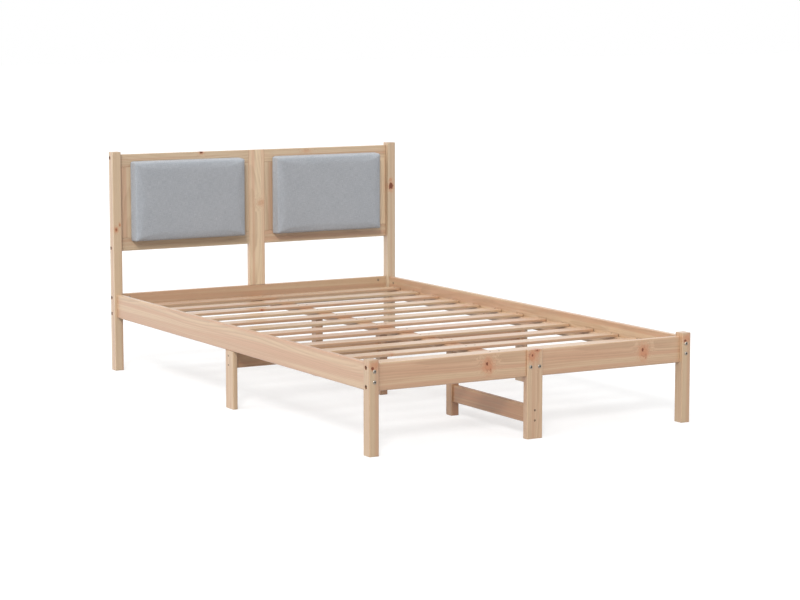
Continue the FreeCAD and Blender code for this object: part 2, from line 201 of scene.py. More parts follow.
def ease(tree, value, start, end, low=0, high=1):
    """The value mapped softly from start..end to low..high."""
    inputs = {"Value": value, "From Min": start, "From Max": end, "To Min": low, "To Max": high}
    return put(tree, "ShaderNodeMapRange", inputs, interpolation_type="SMOOTHSTEP").outputs["Result"]


def grain_noise(tree, vector, stretch, detail=2, roughness=0.5, output="Fac"):
    scaled = vector_calc(tree, "MULTIPLY", vector, stretch)
    inputs = {"Vector": scaled, "Scale": 1, "Detail": detail, "Roughness": roughness}
    return put(tree, "ShaderNodeTexNoise", inputs).outputs[output]


def new_group(name, inputs, outputs):
    """An empty node group with these sockets by kind, and its input and output nodes."""
    tree = bpy.data.node_groups.new(name, "ShaderNodeTree")
    for way, sockets in (("INPUT", inputs), ("OUTPUT", outputs)):
        for kind, labels in sockets.items():
            for label in labels.split():
                tree.interface.new_socket(name=label, in_out=way, socket_type="NodeSocket" + kind)
    enter = tree.nodes.new("NodeGroupInput").outputs
    leave = tree.nodes.new("NodeGroupOutput").inputs
    return tree, enter, leave


def feed(tree, sockets, **values):
    """Links each value to the socket of that name."""
    for label, value in values.items():
        tree.links.new(value, sockets[label])


def place_group(tree, name, inputs):
    return put(tree, "ShaderNodeGroup", inputs, node_tree=bpy.data.node_groups[name]).outputs


def rgba(colour):
    return (*colour, 1)


def build_knot_group():
    """A knot that runs through a board: distance in knot radii, body, dark heart and halo."""
    tree, enter, leave = new_group(
        "Knot", {"Vector": "Vector Centre Reach", "Float": "Show Depth"},
        {"Float": "Distance Body Heart Halo"})
    offset = vector_calc(tree, "SUBTRACT", enter["Vector"], enter["Centre"])
    distance = vector_calc(tree, "LENGTH", vector_calc(tree, "MULTIPLY", offset, enter["Reach"]))
    uneven = grain_noise(tree, enter["Vector"], (130, 130, 130))
    distance = times(tree, distance, ease(tree, uneven, 0.25, 0.75, 0.75, 1.25))
    body = times(tree, ease(tree, distance, 1.1, 0.85), enter["Show"])
    edge = calc(tree, "SUBTRACT", enter["Depth"], distance)
    heart = times(tree, ease(tree, edge, -0.25, 0.2), body)
    halo = calc(tree, "POWER", ease(tree, distance, 3, 0.7), 1.6)
    halo = times(tree, halo, ease(tree, enter["Show"], 0, 0.45, 0.4, 1))
    feed(tree, leave, Distance=distance, Body=body, Heart=heart, Halo=halo)


def build_pine_group():
    """Growth rings, bands, fibres and knots of a pine board with its grain along X."""
    tree, enter, leave = new_group(
        "Pine Grain",
        {"Vector": "Vector", "Float": "Seed Distance Body Heart Halo End Ring",
         "Color": "Early Late Heartwood Glow Core Rim"},
        {"Color": "Color", "Float": "Roughness Height"})
    vector = enter["Vector"]
    knot = enter["Distance"]
    # Each board's noise is read at a place of its own
    shift = {axis: times(tree, enter["Seed"], step) for axis, step in zip(AXES, (7.13, 3.17, 5.71))}
    shift = put(tree, "ShaderNodeCombineXYZ", shift).outputs[0]
    place = vector_calc(tree, "ADD", vector, shift)
    # The pith wanders a little along the log
    sway = grain_noise(tree, place, (1.3, 0, 0), 1, output="Color")
    sway = vector_calc(tree, "SUBTRACT", sway, (0.5, 0.5, 0.5))
    sway = vector_calc(tree, "MULTIPLY", sway, (0, 0.04, 0.04))
    across = vector_calc(tree, "MULTIPLY", vector_calc(tree, "ADD", vector, sway), (0, 1, 1))
    radius = vector_calc(tree, "LENGTH", across)
    # Growth rings, which waver and bend round the knots
    bulge = calc(tree, "EXPONENT", times(tree, times(tree, knot, knot), -0.22))
    rings = calc(tree, "DIVIDE", radius, enter["Ring"])
    for stretch, strength in (((1.4, 20, 20), 2), ((5, 110, 110), 0.3)):
        rings = plus(tree, rings, times(tree, grain_noise(tree, place, stretch), strength))
    rings = plus(tree, rings, times(tree, bulge, 3))
    share = calc(tree, "FRACT", rings)
    late = times(tree, ease(tree, share, 0.2, 0.9), ease(tree, share, 0.92, 1, 1, 0))
    force = ease(tree, grain_noise(tree, place, (0.8, 60, 60)), 0.3, 0.7, 0.2, 0.9)
    late = times(tree, late, force)
    band = ease(tree, grain_noise(tree, place, (0.7, 50, 50)), 0.42, 0.62)
    streak = ease(tree, grain_noise(tree, place, (1.6, 190, 190), 3, 0.6), 0.42, 0.8)
    fibre = grain_noise(tree, place, (14, 1500, 1500), 1)
    canal = ease(tree, grain_noise(tree, place, (24, 1100, 1100), 0), 0.74, 0.8)
    tone = ease(tree, grain_noise(tree, place, (0.6, 11, 11)), 0.3, 0.7)
    # The colour's layers from the bottom up: where each lies, its strength and its colour
    layers = (
        (band, 0.8, "Heartwood"), (late, 0.62, "Late"), (tone, 0.16, "Late"), (streak, 0.28, "Late"),
        (canal, 0.22, "Core"), (ease(tree, fibre, 0.3, 0.7), 0.14, "Late"), (enter["End"], 0.30, "Late"),
        (enter["Halo"], 0.62, "Glow"))
    colour = enter["Early"]
    for mask, strength, label in layers:
        colour = mix(tree, times(tree, mask, strength), colour, enter[label])
    # Body, heart and rim of the knots
    turns = calc(tree, "SINE", times(tree, knot, 26))
    grown = mix(tree, ease(tree, turns, -1, 1, 0, 0.3), enter["Glow"], enter["Core"])
    colour = mix(tree, enter["Body"], colour, grown)
    # Knot hearts take the core colour, and so does the painted shade of the bored recesses that comes in
    # with them
    colour = mix(tree, enter["Heart"], colour, enter["Core"])
    rim = times(tree, ease(tree, knot, 0.78, 0.96), ease(tree, knot, 1.16, 1))
    broken = ease(tree, grain_noise(tree, place, (90, 90, 90), 1), 0.4, 0.6)
    for share in (broken, ease(tree, enter["Body"], 0, 0.4)):
        rim = times(tree, rim, share)
    colour = mix(tree, times(tree, rim, 0.55), colour, enter["Rim"])
    rough = ease(tree, late, 0, 1, 0.52, 0.44)
    rough = plus(tree, rough, times(tree, enter["End"], 0.2))
    rough = plus(tree, rough, ease(tree, fibre, 0.3, 0.7, -0.04, 0.04))
    height = plus(tree, times(tree, late, 0.35), times(tree, fibre, 0.35))
    for mask, depth in ((canal, 0.4), (rim, 0.6)):
        height = calc(tree, "SUBTRACT", height, times(tree, mask, depth))
    feed(tree, leave, Color=colour, Roughness=rough, Height=height)


def build_weave_plane_group():
    """A plain weave laid flat along two of the directions."""
    tree, enter, leave = new_group(
        "Weave Plane", {"Float": "Across Along Pitch"}, {"Float": "Height Tone"})
    threads = []
    for key, other in (("Across", "Along"), ("Along", "Across")):
        count = calc(tree, "DIVIDE", enter[key], enter["Pitch"])
        line = put(tree, "ShaderNodeCombineXYZ", {
            "X": times(tree, enter[key], 900), "Y": times(tree, enter[other], 46)}).outputs[0]
        slub = put(tree, "ShaderNodeTexNoise", {"Vector": line, "Scale": 1, "Detail": 2}).outputs["Fac"]
        number = calc(tree, "FLOOR", count)
        middle = calc(tree, "SUBTRACT", calc(tree, "FRACT", count), 0.5)
        drop = times(tree, times(tree, middle, middle), 4)
        threads.append((number, calc(tree, "SUBTRACT", 1, drop), slub))
    numbers, heights, slubs = zip(*threads)
    even = calc(tree, "MODULO", calc(tree, "ABSOLUTE", plus(tree, *numbers)), 2)
    feed(tree, leave, Height=blend(tree, even, *heights), Tone=blend(tree, even, *slubs))


def build_linen_group():
    """Plain woven cloth, laid on the surface from the side that it faces."""
    tree, enter, leave = new_group(
        "Linen Weave", {"Vector": "Vector Normal", "Float": "Pitch", "Color": "Light Dark"},
        {"Color": "Color", "Float": "Roughness Height"})
    part = put(tree, "ShaderNodeSeparateXYZ", {0: enter["Vector"]}).outputs
    facing = vector_calc(tree, "ABSOLUTE", enter["Normal"])
    facing = put(tree, "ShaderNodeSeparateXYZ", {0: facing}).outputs
    height = tone = None
    # The weave lies along two of the directions where the surface faces the third
    for across, along, side in ("XZY", "YZX", "XYZ"):
        weave = place_group(tree, "Weave Plane", {
            "Across": part[across], "Along": part[along], "Pitch": enter["Pitch"]})
        if height is None:
            height, tone = weave["Height"], weave["Tone"]
            continue
        share = ease(tree, facing[side], 0.66, 0.74)
        height = blend(tree, share, height, weave["Height"])
        tone = blend(tree, share, tone, weave["Tone"])
    melange = grain_noise(tree, enter["Vector"], (420, 420, 420))
    cloud = grain_noise(tree, enter["Vector"], (14, 14, 14), 1)
    amount = ease(tree, tone, 0.3, 0.7)
    amount = plus(tree, times(tree, amount, 0.7), times(tree, melange, 0.3))
    amount = plus(tree, amount, ease(tree, cloud, 0.3, 0.7, -0.03, 0.03))
    colour = mix(tree, amount, enter["Dark"], enter["Light"])
    # Painted shade in the low places between the threads
    thread_gap_shade = ease(tree, height, 0, 0.6, 0.30, 0)
    colour = mix(tree, thread_gap_shade, colour, enter["Dark"], "MULTIPLY")
    rough = ease(tree, height, 0, 1, 0.95, 0.86)
    feed(tree, leave, Color=colour, Roughness=rough, Height=height)


def new_material(name, inputs=(), kind="ShaderNodeBsdfPrincipled"):
    """A material with a lone shader, its tree and the shader's node."""
    material = bpy.data.materials.new(name)
    material.use_nodes = True
    tree = material.node_tree
    tree.nodes.clear()
    shader = put(tree, kind, inputs)
    put(tree, "ShaderNodeOutputMaterial", {"Surface": shader.outputs[0]})
    return material, tree, shader


def finish_shader(tree, shader, result, strength, distance, edge=0):
    """Feeds a group's colour, roughness and height to the shader, with the edges softened."""
    tree.links.new(result["Color"], shader.inputs["Base Color"])
    bump = put(tree, "ShaderNodeBump", {
        "Height": result["Height"], "Strength": strength, "Distance": distance})
    if edge:
        soft = put(tree, "ShaderNodeBevel", {"Radius": edge}, samples=6)
        tree.links.new(soft.outputs["Normal"], bump.inputs["Normal"])
    feed(tree, shader.inputs, Roughness=result["Roughness"], Normal=bump.outputs[0])


# Knots by board, which all run along Y, in mm: the place along X and Z, the radii along and
# across the grain, how much the knot's body shows and how much of it is dark
KNOTS = {
    "foot_rail_left": [
        (-178, 256, 13, 17, 0.45, 0), (-182, 262, 4, 6, 1, 0.9), (-168, 243, 3.5, 10, 0.7, 0.3)],
    "foot_rail_right": [
        (441, 256, 13, 17, 0.45, 0), (437, 262, 4, 6, 1, 0.9), (451, 243, 3.5, 10, 0.7, 0.3)],
    "head_post_left": [(-617, 550, 8, 5, 0.8, 0.5), (-602, 567, 5, 3, 0.6, 0.4)],
    "head_post_right": [(606.6, 671, 12, 9, 1, 0.95), (606, 697, 6, 5, 0.3, 0)],
    "headboard_top_rail_left": [(-242.6, 837, 7, 6, 1, 1)],
    "headboard_top_rail_right": [(224, 826, 14, 5, 0.1, 0)],
    "headboard_centre_board": [(16.7, 626, 9, 10, 0.15, 0)],
    "foot_leg_left": [(-616, 283, 5, 5, 1, 0.8), (-610, 291, 9, 11, 0.3, 0)],
    "foot_leg_right": [(605, 283, 5, 5, 1, 0.8), (610, 291, 9, 11, 0.3, 0)],
    "middle_foot_leg": [
        (-11, 276, 14, 13, 0.6, 0), (-11, 278, 6, 5, 1, 0.7), (8, 293, 6, 9, 0.8, 0.4)],
}
# Boards cut alike from the same log
TWINS = {"foot_rail_right": "foot_rail_left", "foot_leg_right": "foot_leg_left"}
# Painted light and shade on whole boards, by the start of their names: red, green and blue. The
# headboard, head posts and foot legs are painted paler, as if more light fell on them; the stretcher,
# centre pieces and cross beam are painted darker and redder for the shade under the bed
PAINTED_LIGHT_AND_SHADE = {
    "headboard_centre": (1.24, 1.42, 1.56), "headboard_outer": (1.22, 1.34, 1.44),
    "headboard": (1.06, 1.16, 1.24), "head_post": (1.04, 1.14, 1.22), "foot_leg": (1, 1.04, 1.04),
    "stretcher": (0.80, 0.68, 0.57), "centre": (0.78, 0.67, 0.59), "cross_beam": (0.78, 0.67, 0.59),
}


class BED_OT_timber(bpy.types.Operator):
    """Gives every board its own cut of pine, with the grain along it"""

    bl_idname = "bed.finish_timber"
    bl_label = "Finish the pine boards"

    def execute(self, context):
        build_knot_group()
        build_pine_group()
        boards = [row["node"] for row in frame["record"]["subparts"] if row["material_slot"] == "pine"]
        for node in boards:
            material = pine_material(node, context.scene.bed_pine)
            for place in frame["nodes"][node].material_slots:
                place.material = material
        return {"FINISHED"}


def pine_material(node, settings):
    """The pine of one board: its place in the log, its tone and its knots."""
    chance = random.Random("log of " + TWINS.get(node, node))
    low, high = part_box(node)
    size = high - low
    thin, wide, grain = sorted(range(3), key=lambda k: size[k])
    pith = (low + high) / 2
    pith[thin] += chance.choice((-1, 1)) * chance.uniform(0.05, 0.11)
    pith[wide] += chance.uniform(-0.8, 0.8) * size[wide]
    seed = chance.uniform(0, 50)
    turn = ((0, 0, 0), (0, 0, math.pi / 2), (0, -math.pi / 2, 0))[grain]
    material, tree, shader = new_material("pine_" + node, {
        "Coat Weight": 0.9, "Coat Roughness": 0.3, "Specular IOR Level": 0.5})
    coordinates = tree.nodes.new("ShaderNodeTexCoord").outputs
    local = put(tree, "ShaderNodeMapping", {
        "Vector": coordinates["Object"], "Location": pith, "Rotation": turn},
        vector_type="TEXTURE").outputs[0]
    axis = tuple(int(k == grain) for k in range(3))
    facing = calc(tree, "ABSOLUTE", vector_calc(tree, "DOT_PRODUCT", coordinates["Normal"], axis))
    knots = [((x, 0, z), "Y", *look) for x, z, *look in KNOTS.get(node, ())]
    if node.startswith(("slat", "centre", "head_rail", "cross")) and chance.choice((0, 0, 1)):
        place = [chance.uniform(low[k], high[k]) / MM for k in range(3)]
        radius = chance.uniform(0.07, 0.12) * size[wide] / MM
        knots.append((tuple(place), AXES[thin], radius * 1.25, radius, 0.8, 0.3))
    masks = {"Distance": 9, "Body": 0, "Heart": 0, "Halo": 0}
    for place, through, long_radius, short_radius, show, depth in knots:
        reach = [1 / (short_radius * MM)] * 3
        reach[grain] = 1 / (long_radius * MM)
        reach[AXES.index(through)] = 0
        found = place_group(tree, "Knot", {
            "Vector": coordinates["Object"], "Centre": tuple(p * MM for p in place),
            "Reach": tuple(reach), "Show": show, "Depth": depth})
        for label, value in masks.items():
            extreme = "MINIMUM" if label == "Distance" else "MAXIMUM"
            masks[label] = calc(tree, extreme, value, found[label])
    # Painted shade on the walls of the bored recesses: the knot-heart colour is laid round each bore
    bores = next((places for start, places in BORES.items() if node.startswith(start)), ())
    for along, level in bores:
        offset = vector_calc(tree, "SUBTRACT", coordinates["Object"], (0, along * MM, level * MM))
        distance = vector_calc(tree, "LENGTH", vector_calc(tree, "MULTIPLY", offset, (0, 1, 1)))
        painted_recess_shade = ease(tree, distance, BORE_RADIUS + 0.5 * MM, BORE_RADIUS + 0.1 * MM, 0, 0.7)
        masks["Heart"] = calc(tree, "MAXIMUM", masks["Heart"], painted_recess_shade)
    warm = chance.uniform(-1, 1)
    # Painted light and shade of the board from the table, then a random warmth of the board's own
    painted_light_and_tone = next((painted_light_and_tone for start, painted_light_and_tone in PAINTED_LIGHT_AND_SHADE.items() if node.startswith(start)), (1, 1, 1))
    painted_light_and_tone = [t + share * warm for t, share in zip(painted_light_and_tone, (0.01, -0.008, -0.02))]
    value = chance.uniform(0.98, 1.02)
    woods = {"Early": settings.early, "Late": settings.late, "Heartwood": settings.heart}
    colours = {label: rgba([c * t * value for c, t in zip(wood, painted_light_and_tone)]) for label, wood in woods.items()}
    result = place_group(tree, "Pine Grain", {
        "Vector": local, "Seed": seed, **masks, "End": ease(tree, facing, 0.6, 0.9),
        "Ring": settings.ring * chance.uniform(0.8, 1.25), **colours,
        "Glow": rgba(settings.halo), "Core": rgba(settings.knot), "Rim": rgba(settings.bark)})
    finish_shader(tree, shader, result, 0.25, 0.3 * MM, settings.ease)
    if knots or bores:
        lacquer = ease(tree, masks["Heart"], 0, 1, 0.9, 0.25)
        tree.links.new(lacquer, shader.inputs["Coat Weight"])
    return material


# Pieces


def clear_selection():
    if bpy.context.object and bpy.context.object.mode != "OBJECT":
        bpy.ops.object.mode_set(mode="OBJECT")
    bpy.ops.object.select_all(action="DESELECT")


def pick(piece):
    """Selects the piece alone and makes it active."""
    clear_selection()
    piece.select_set(True)
    bpy.context.view_layer.objects.active = piece


def start_editing(action="SELECT"):
    bpy.ops.object.mode_set(mode="EDIT")
    bpy.ops.mesh.select_all(action=action)


def stop_editing():
    bpy.ops.object.mode_set(mode="OBJECT")


def select_edges(piece, rule):
    """Selects the edges whose two ends pass the rule, in edit mode."""
    mesh = bmesh.from_edit_mesh(piece.data)
    for edge in mesh.edges:
        edge.select_set(rule(*(vertex.co for vertex in edge.verts)))
    bmesh.update_edit_mesh(piece.data)


def apply_place(piece):
    """Puts the piece's place, turn and scale into its mesh."""
    pick(piece)
    bpy.ops.object.transform_apply()


def block(name, middle, size):
    """A plain block, with its size in its mesh."""
    clear_selection()
    bpy.ops.mesh.primitive_cube_add(size=1, location=middle)
    piece = bpy.context.object
    piece.name = piece.data.name = name
    piece.scale = size
    apply_place(piece)
    return piece


def apply_modifiers(piece):
    pick(piece)
    for modifier in list(piece.modifiers):
        bpy.ops.object.modifier_apply(modifier=modifier.name)


def modify(piece, kind, **settings):
    """Adds a modifier with these settings and applies it."""
    modifier = piece.modifiers.new(kind.lower(), kind)
    for name, value in settings.items():
        setattr(modifier, name, value)
    apply_modifiers(piece)


def shade_smooth(piece, angle):
    pick(piece)
    bpy.ops.object.shade_smooth_by_angle(angle=math.radians(angle))


def hexagon_reach(co, flat):
    """How far out a hexagon reaches towards the point, from its width across the flats."""
    angle = math.atan2(co.y, co.x) % (math.pi / 3)
    return flat / 2 / math.cos(angle - math.pi / 6)


def extrude(rise, height, share):
    """Extrudes what is selected along Z and scales its end, which comes to lie at the height."""
    bpy.ops.mesh.extrude_region_move(TRANSFORM_OT_translate={"value": (0, 0, rise)})
    bpy.ops.transform.resize(value=(share, share, 1), center_override=(0, 0, height))


def turned(name, profile, sides):
    """A solid turned about Z. The profile lists its radius and height from the bottom up."""
    clear_selection()
    bpy.ops.mesh.primitive_circle_add(
        vertices=sides, radius=profile[0][0], fill_type="NGON", location=(0, 0, profile[0][1]))
    piece = bpy.context.object
    piece.name = piece.data.name = name
    apply_place(piece)
    start_editing()
    for (radius, height), (next_radius, next_height) in zip(profile, profile[1:]):
        extrude(next_height - height, next_height, next_radius / radius)
    bpy.ops.mesh.select_all(action="SELECT")
    bpy.ops.mesh.normals_make_consistent()
    stop_editing()
    return piece


def drive_socket(piece, flat, depth, height):
    """Sinks a hexagonal socket into the face at that height on the Z axis."""
    pick(piece)
    start_editing("DESELECT")
    mesh = bmesh.from_edit_mesh(piece.data)
    flats = [face for face in mesh.faces
             if face.normal.z > 0.99 and abs(face.calc_center_median().z - height) < 1e-6]
    top = max(flats, key=lambda face: face.calc_area())
    top.select = True
    for vertex in top.verts:
        vertex.co.xy = vertex.co.xy.normalized() * hexagon_reach(vertex.co, flat)
    bmesh.update_edit_mesh(piece.data)
    # Straight walls that taper a little, then the point that the drill leaves
    end = height
    for drop, share in ((depth, 0.9), (0.25 * depth, 0.1)):
        end -= drop
        extrude(-drop, end, share)
    bpy.ops.mesh.select_all(action="SELECT")
    bpy.ops.mesh.normals_make_consistent()
    stop_editing()
    # The faces inside the socket take the second material, a painted shade
    for face in piece.data.polygons:
        within = face.center.xy.length < 0.58 * flat and -1.5 * depth < face.center.z - height < -1e-6
        face.material_index = int(within)


def finish_with(piece, *materials):
    """Gives a bare piece these materials, by name."""
    for name in materials:
        piece.data.materials.append(bpy.data.materials[name])


def spare_copy(master):
    """A copy of the piece with its own mesh, put in the scene."""
    piece = master.copy()
    piece.data = master.data.copy()
    bpy.context.scene.collection.objects.link(piece)
    return piece


def copies(master, places, label, *materials, replaced=None, spin=47):
    """Puts a copy of the master at each place, in mm, facing its way, and removes the master."""
    shade_smooth(master, angle=32)
    for number, (place, direction) in enumerate(places):
        piece = spare_copy(master)
        piece.name = piece.data.name = f"{label}_{number + 1:02d}"
        turn = Vector(direction).to_track_quat("Z", "Y").to_matrix().to_4x4()
        # Each fastener's drive was left at a turn of its own
        roll = Matrix.Rotation(math.radians(spin * number % 360), 4, "Z")
        piece.data.transform(Matrix.Translation(Vector(place) * MM) @ turn @ roll)
        finish_with(piece, *materials)
        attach(piece, "root")
        if replaced:
            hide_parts(replaced)
    bpy.data.objects.remove(master)


def steel_material(name, colour):
    """Zinc-plated steel with fine scratches and a little dullness."""
    _, tree, shader = new_material(name, {"Metallic": 1})
    place = tree.nodes.new("ShaderNodeTexCoord").outputs["Object"]
    dull = ease(tree, grain_noise(tree, place, (900, 900, 900), 3, 0.6), 0.3, 0.7)
    scratch = grain_noise(tree, place, (300, 4000, 4000), 1)
    shaded = rgba([c * 0.72 for c in colour])
    result = {"Color": mix(tree, dull, rgba(colour), shaded),
              "Roughness": ease(tree, dull, 0, 1, 0.22, 0.4), "Height": scratch}
    finish_shader(tree, shader, result, 0.15, 0.05 * MM)


class BED_OT_button_bolts(bpy.types.Operator):
    """Makes the domed bolts with hexagon sockets at the corners and the middle leg"""

    bl_idname = "bed.make_button_bolts"
    bl_label = "Make the domed bolts"

    def execute(self, context):
        sizes = context.scene.bed_hardware
        radius, dome, shank = sizes.head, sizes.dome, sizes.shank
        rim, steps, crown = 0.25 * MM, 7, math.radians(60)
        profile = [
            (shank - 0.4 * MM, -80 * MM), (shank, -79.4 * MM), (shank, 0), (radius, 0), (radius, rim)]
        for step in range(1, steps + 1):
            angle = step / steps * crown
            rise = math.sin(angle) / math.sin(crown)
            profile.append((radius * math.cos(angle), rim + (dome - rim) * rise))
        profile.append((3 * MM, dome))
        master = turned("domed_bolt", profile, 48)
        drive_socket(master, 5 * MM, 2.4 * MM, dome)
        places = []
        for side in (-1, 1):
            corner, middle = 608.5 * side, 17 * side
            for level in DOMED_LEVELS:
                places += [((corner, -END_FACE, level), FRONT), ((corner, END_FACE, level), BACK)]
            places.append(((middle, -MIDDLE_LEG_FACE, 240), FRONT))
        copies(master, places, "domed_bolt", "bolt_zinc", "socket_painted_shade", replaced="button_head_bolts")
        return {"FINISHED"}


class BED_OT_sunk_bolts(bpy.types.Operator):
    """Makes the hexagon bolts that sit in the round recesses of the legs and posts"""

    bl_idname = "bed.make_sunk_bolts"
    bl_label = "Make the sunk bolts"

    def execute(self, context):
        shank = context.scene.bed_hardware.shank
        corner, washer, flat = 5.6 * MM, 6.1 * MM, 10 * MM
        profile = [
            (shank - 0.4 * MM, -68 * MM), (shank, -67.4 * MM), (shank, 0), (washer - 0.3 * MM, 0),
            (washer, 0.3 * MM), (washer, 0.9 * MM), (washer - 0.3 * MM, 1.2 * MM), (corner, 1.2 * MM),
            (corner, 3.6 * MM), (corner * 0.84, 4 * MM), (corner * 0.5, 3.85 * MM)]
        master = turned("sunk_bolt", profile, 36)
        for vertex in master.data.vertices:
            if vertex.co.z > 1.25 * MM and vertex.co.xy.length > corner * 0.9:
                reach = min(hexagon_reach(vertex.co, flat), corner)
                vertex.co.xy = vertex.co.xy.normalized() * reach
        floor = SIDE_FACE - BORE_DEPTH
        places = [((floor * side, *spot), (side, 0, 0)) for side in (-1, 1)
                  for spot in BORES["foot_leg"] + BORES["head_post"]]
        # The dark steel paints the shade of the recesses on these bolts
        copies(master, places, "sunk_bolt", "dull_steel_and_painted_shade", replaced="sunk_bolts")
        return {"FINISHED"}


class BED_OT_barrel_nuts(bpy.types.Operator):
    """Makes the ends of the barrel nuts, which show on the rails' inner faces and behind"""

    bl_idname = "bed.make_barrel_nuts"
    bl_label = "Make the barrel nuts"

    def execute(self, context):
        radius = 5 * MM
        profile = [
            (radius - 0.5 * MM, -2 * MM), (radius, -1.5 * MM), (radius, 0.15 * MM),
            (radius - 0.35 * MM, 0.4 * MM), (radius - 1.2 * MM, 0.4 * MM),
            (radius - 1.6 * MM, 0.15 * MM)]
        master = turned("barrel_nut", profile, 32)
        cut_slot(master, radius - 1.7 * MM, 0.6 * MM, 0.15 * MM, 1.2 * MM)
        side_rail, foot_rail, head_rail = 599.5, -995.5, 1008.5
        places = []
        for side in (-1, 1):
            places += [((side_rail * side, y, DOMED_LEVELS[1]), (-side, 0, 0)) for y in (-957, 957)]
            x = 557 * side
            for level in SUNK_LEVELS:
                places += [((x, foot_rail, level), BACK), ((x, head_rail, level), FRONT)]
            places += [((x, HEADBOARD_BACK, level), BACK) for level in HEADBOARD_LEVELS]
        copies(master, places, "barrel_nut", "bolt_zinc")
        return {"FINISHED"}


def cut_slot(piece, reach, half_width, height, depth):
    """Sinks a screwdriver slot into the flat face at that height on the Z axis."""
    cutter = block("cutter", (0, 0, height), (2 * reach, 2 * half_width, 2 * depth))
    modify(piece, "BOOLEAN", object=cutter, operation="DIFFERENCE", solver="EXACT")
    bpy.data.objects.remove(cutter)


class BED_OT_screws(bpy.types.Operator):
    """Makes the countersunk screws of the slats, ledgers, legs and panels"""

    bl_idname = "bed.make_screws"
    bl_label = "Make the screws"

    def execute(self, context):
        radius = context.scene.bed_hardware.screw
        profile = [
            (1.6 * MM, -3.4 * MM), (1.75 * MM, -2.4 * MM), (radius, -0.25 * MM), (radius, 0.1 * MM),
            (radius - 0.5 * MM, 0.25 * MM)]
        master = turned("screw", profile, 20)
        for turn in (0, 90):
            master.data.transform(Matrix.Rotation(math.radians(turn), 4, "Z"))
            cut_slot(master, radius * 0.62, 0.45 * MM, 0.25 * MM, 1.1 * MM)
        for label, places in screw_places().items():
            copies(spare_copy(master), places, label, "dull_steel_and_painted_shade", spin=141)
        bpy.data.objects.remove(master)
        return {"FINISHED"}


def screw_places():
    """Where the screws go, in mm, and the side that each head faces."""
    first_slat, slat_step, slat_top = -925.5, 154.4167, 259
    centre_leg, ledger, side_leg = -480, 581.5, 617.5
    slats = [((x, first_slat + slat_step * n, slat_top), UP)
             for n in range(13) for x in (-588, -18, 18, 588)]
    # The stretcher's ends, screwed through the middle leg and the first centre leg
    ends = (-MIDDLE_LEG_FACE, FRONT), (centre_leg, BACK)
    legs = [((0, along, z), way) for along, way in ends for z in (61, 95)]
    ledgers, panels = [], []
    for side in (-1, 1):
        ledgers += [((ledger * side, -900 + 225 * n, 234), (-side, 0, 0)) for n in range(9)]
        legs += [((side_leg * side, 6.5, z), (side, 0, 0)) for z in (155, 188)]
        panels += [((x * side, HEADBOARD_BACK, z), BACK) for x in (150, 314, 478) for z in (509, 798)]
    return {"slat_screw": slats, "ledger_screw": ledgers, "leg_screw": legs, "panel_screw": panels}


class BED_OT_panels(bpy.types.Operator):
    """Pads and covers the two headboard panels"""

    bl_idname = "bed.make_panels"
    bl_label = "Make the upholstered panels"

    def execute(self, context):
        settings = context.scene.bed_panel
        build_weave_plane_group()
        build_linen_group()
        linen_material("panel_linen", settings)
        for side in ("left", "right"):
            node = "panel_cushion_" + side
            low, high = (corner.copy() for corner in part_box(node))
            # The cloth stands a little proud of the foam towards the centre board
            inner = high if side == "left" else low
            inner.x -= math.copysign(settings.proud, inner.x)
            piece = padded_panel("panel_pad_" + side, low, high, settings)
            finish_with(piece, "panel_linen")
            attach(piece, "root")
            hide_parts(node)
            for place in frame["nodes"]["panel_board_" + side].material_slots:
                place.material = plywood_material("plywood_" + side, context.scene.bed_pine)
        return {"FINISHED"}


def linen_material(name, settings):
    _, tree, shader = new_material(name, {
        "Sheen Weight": 0.35, "Sheen Roughness": 0.5, "Specular IOR Level": 0.2})
    coordinates = tree.nodes.new("ShaderNodeTexCoord").outputs
    result = place_group(tree, "Linen Weave", {
        "Vector": coordinates["Object"], "Normal": coordinates["Normal"], "Pitch": settings.pitch,
        "Light": rgba(settings.light), "Dark": rgba(settings.dark)})
    finish_shader(tree, shader, result, 0.5, 0.25 * MM)


def plywood_material(name, settings):
    """Bare plywood: rotary-cut veneer with wide, wild figure."""
    material, tree, shader = new_material(name)
    place = tree.nodes.new("ShaderNodeTexCoord").outputs["Object"]
    figure = grain_noise(tree, place, (3, 40, 14), 4, 0.6)
    waves = calc(tree, "FRACT", times(tree, figure, 16))
    line = times(tree, ease(tree, waves, 0.3, 0.9), ease(tree, waves, 1, 0.92))
    fibre = ease(tree, grain_noise(tree, place, (20, 900, 900)), 0.4, 0.8)
    early = rgba([c * 0.8 for c in settings.early])
    late = rgba([c * 0.78 for c in settings.late])
    colour = mix(tree, times(tree, line, 0.5), early, late)
    colour = mix(tree, times(tree, fibre, 0.4), colour, late)
    result = {"Color": colour, "Roughness": ease(tree, fibre, 0, 1, 0.68, 0.8), "Height": fibre}
    finish_shader(tree, shader, result, 0.3, 0.3 * MM)
    return material


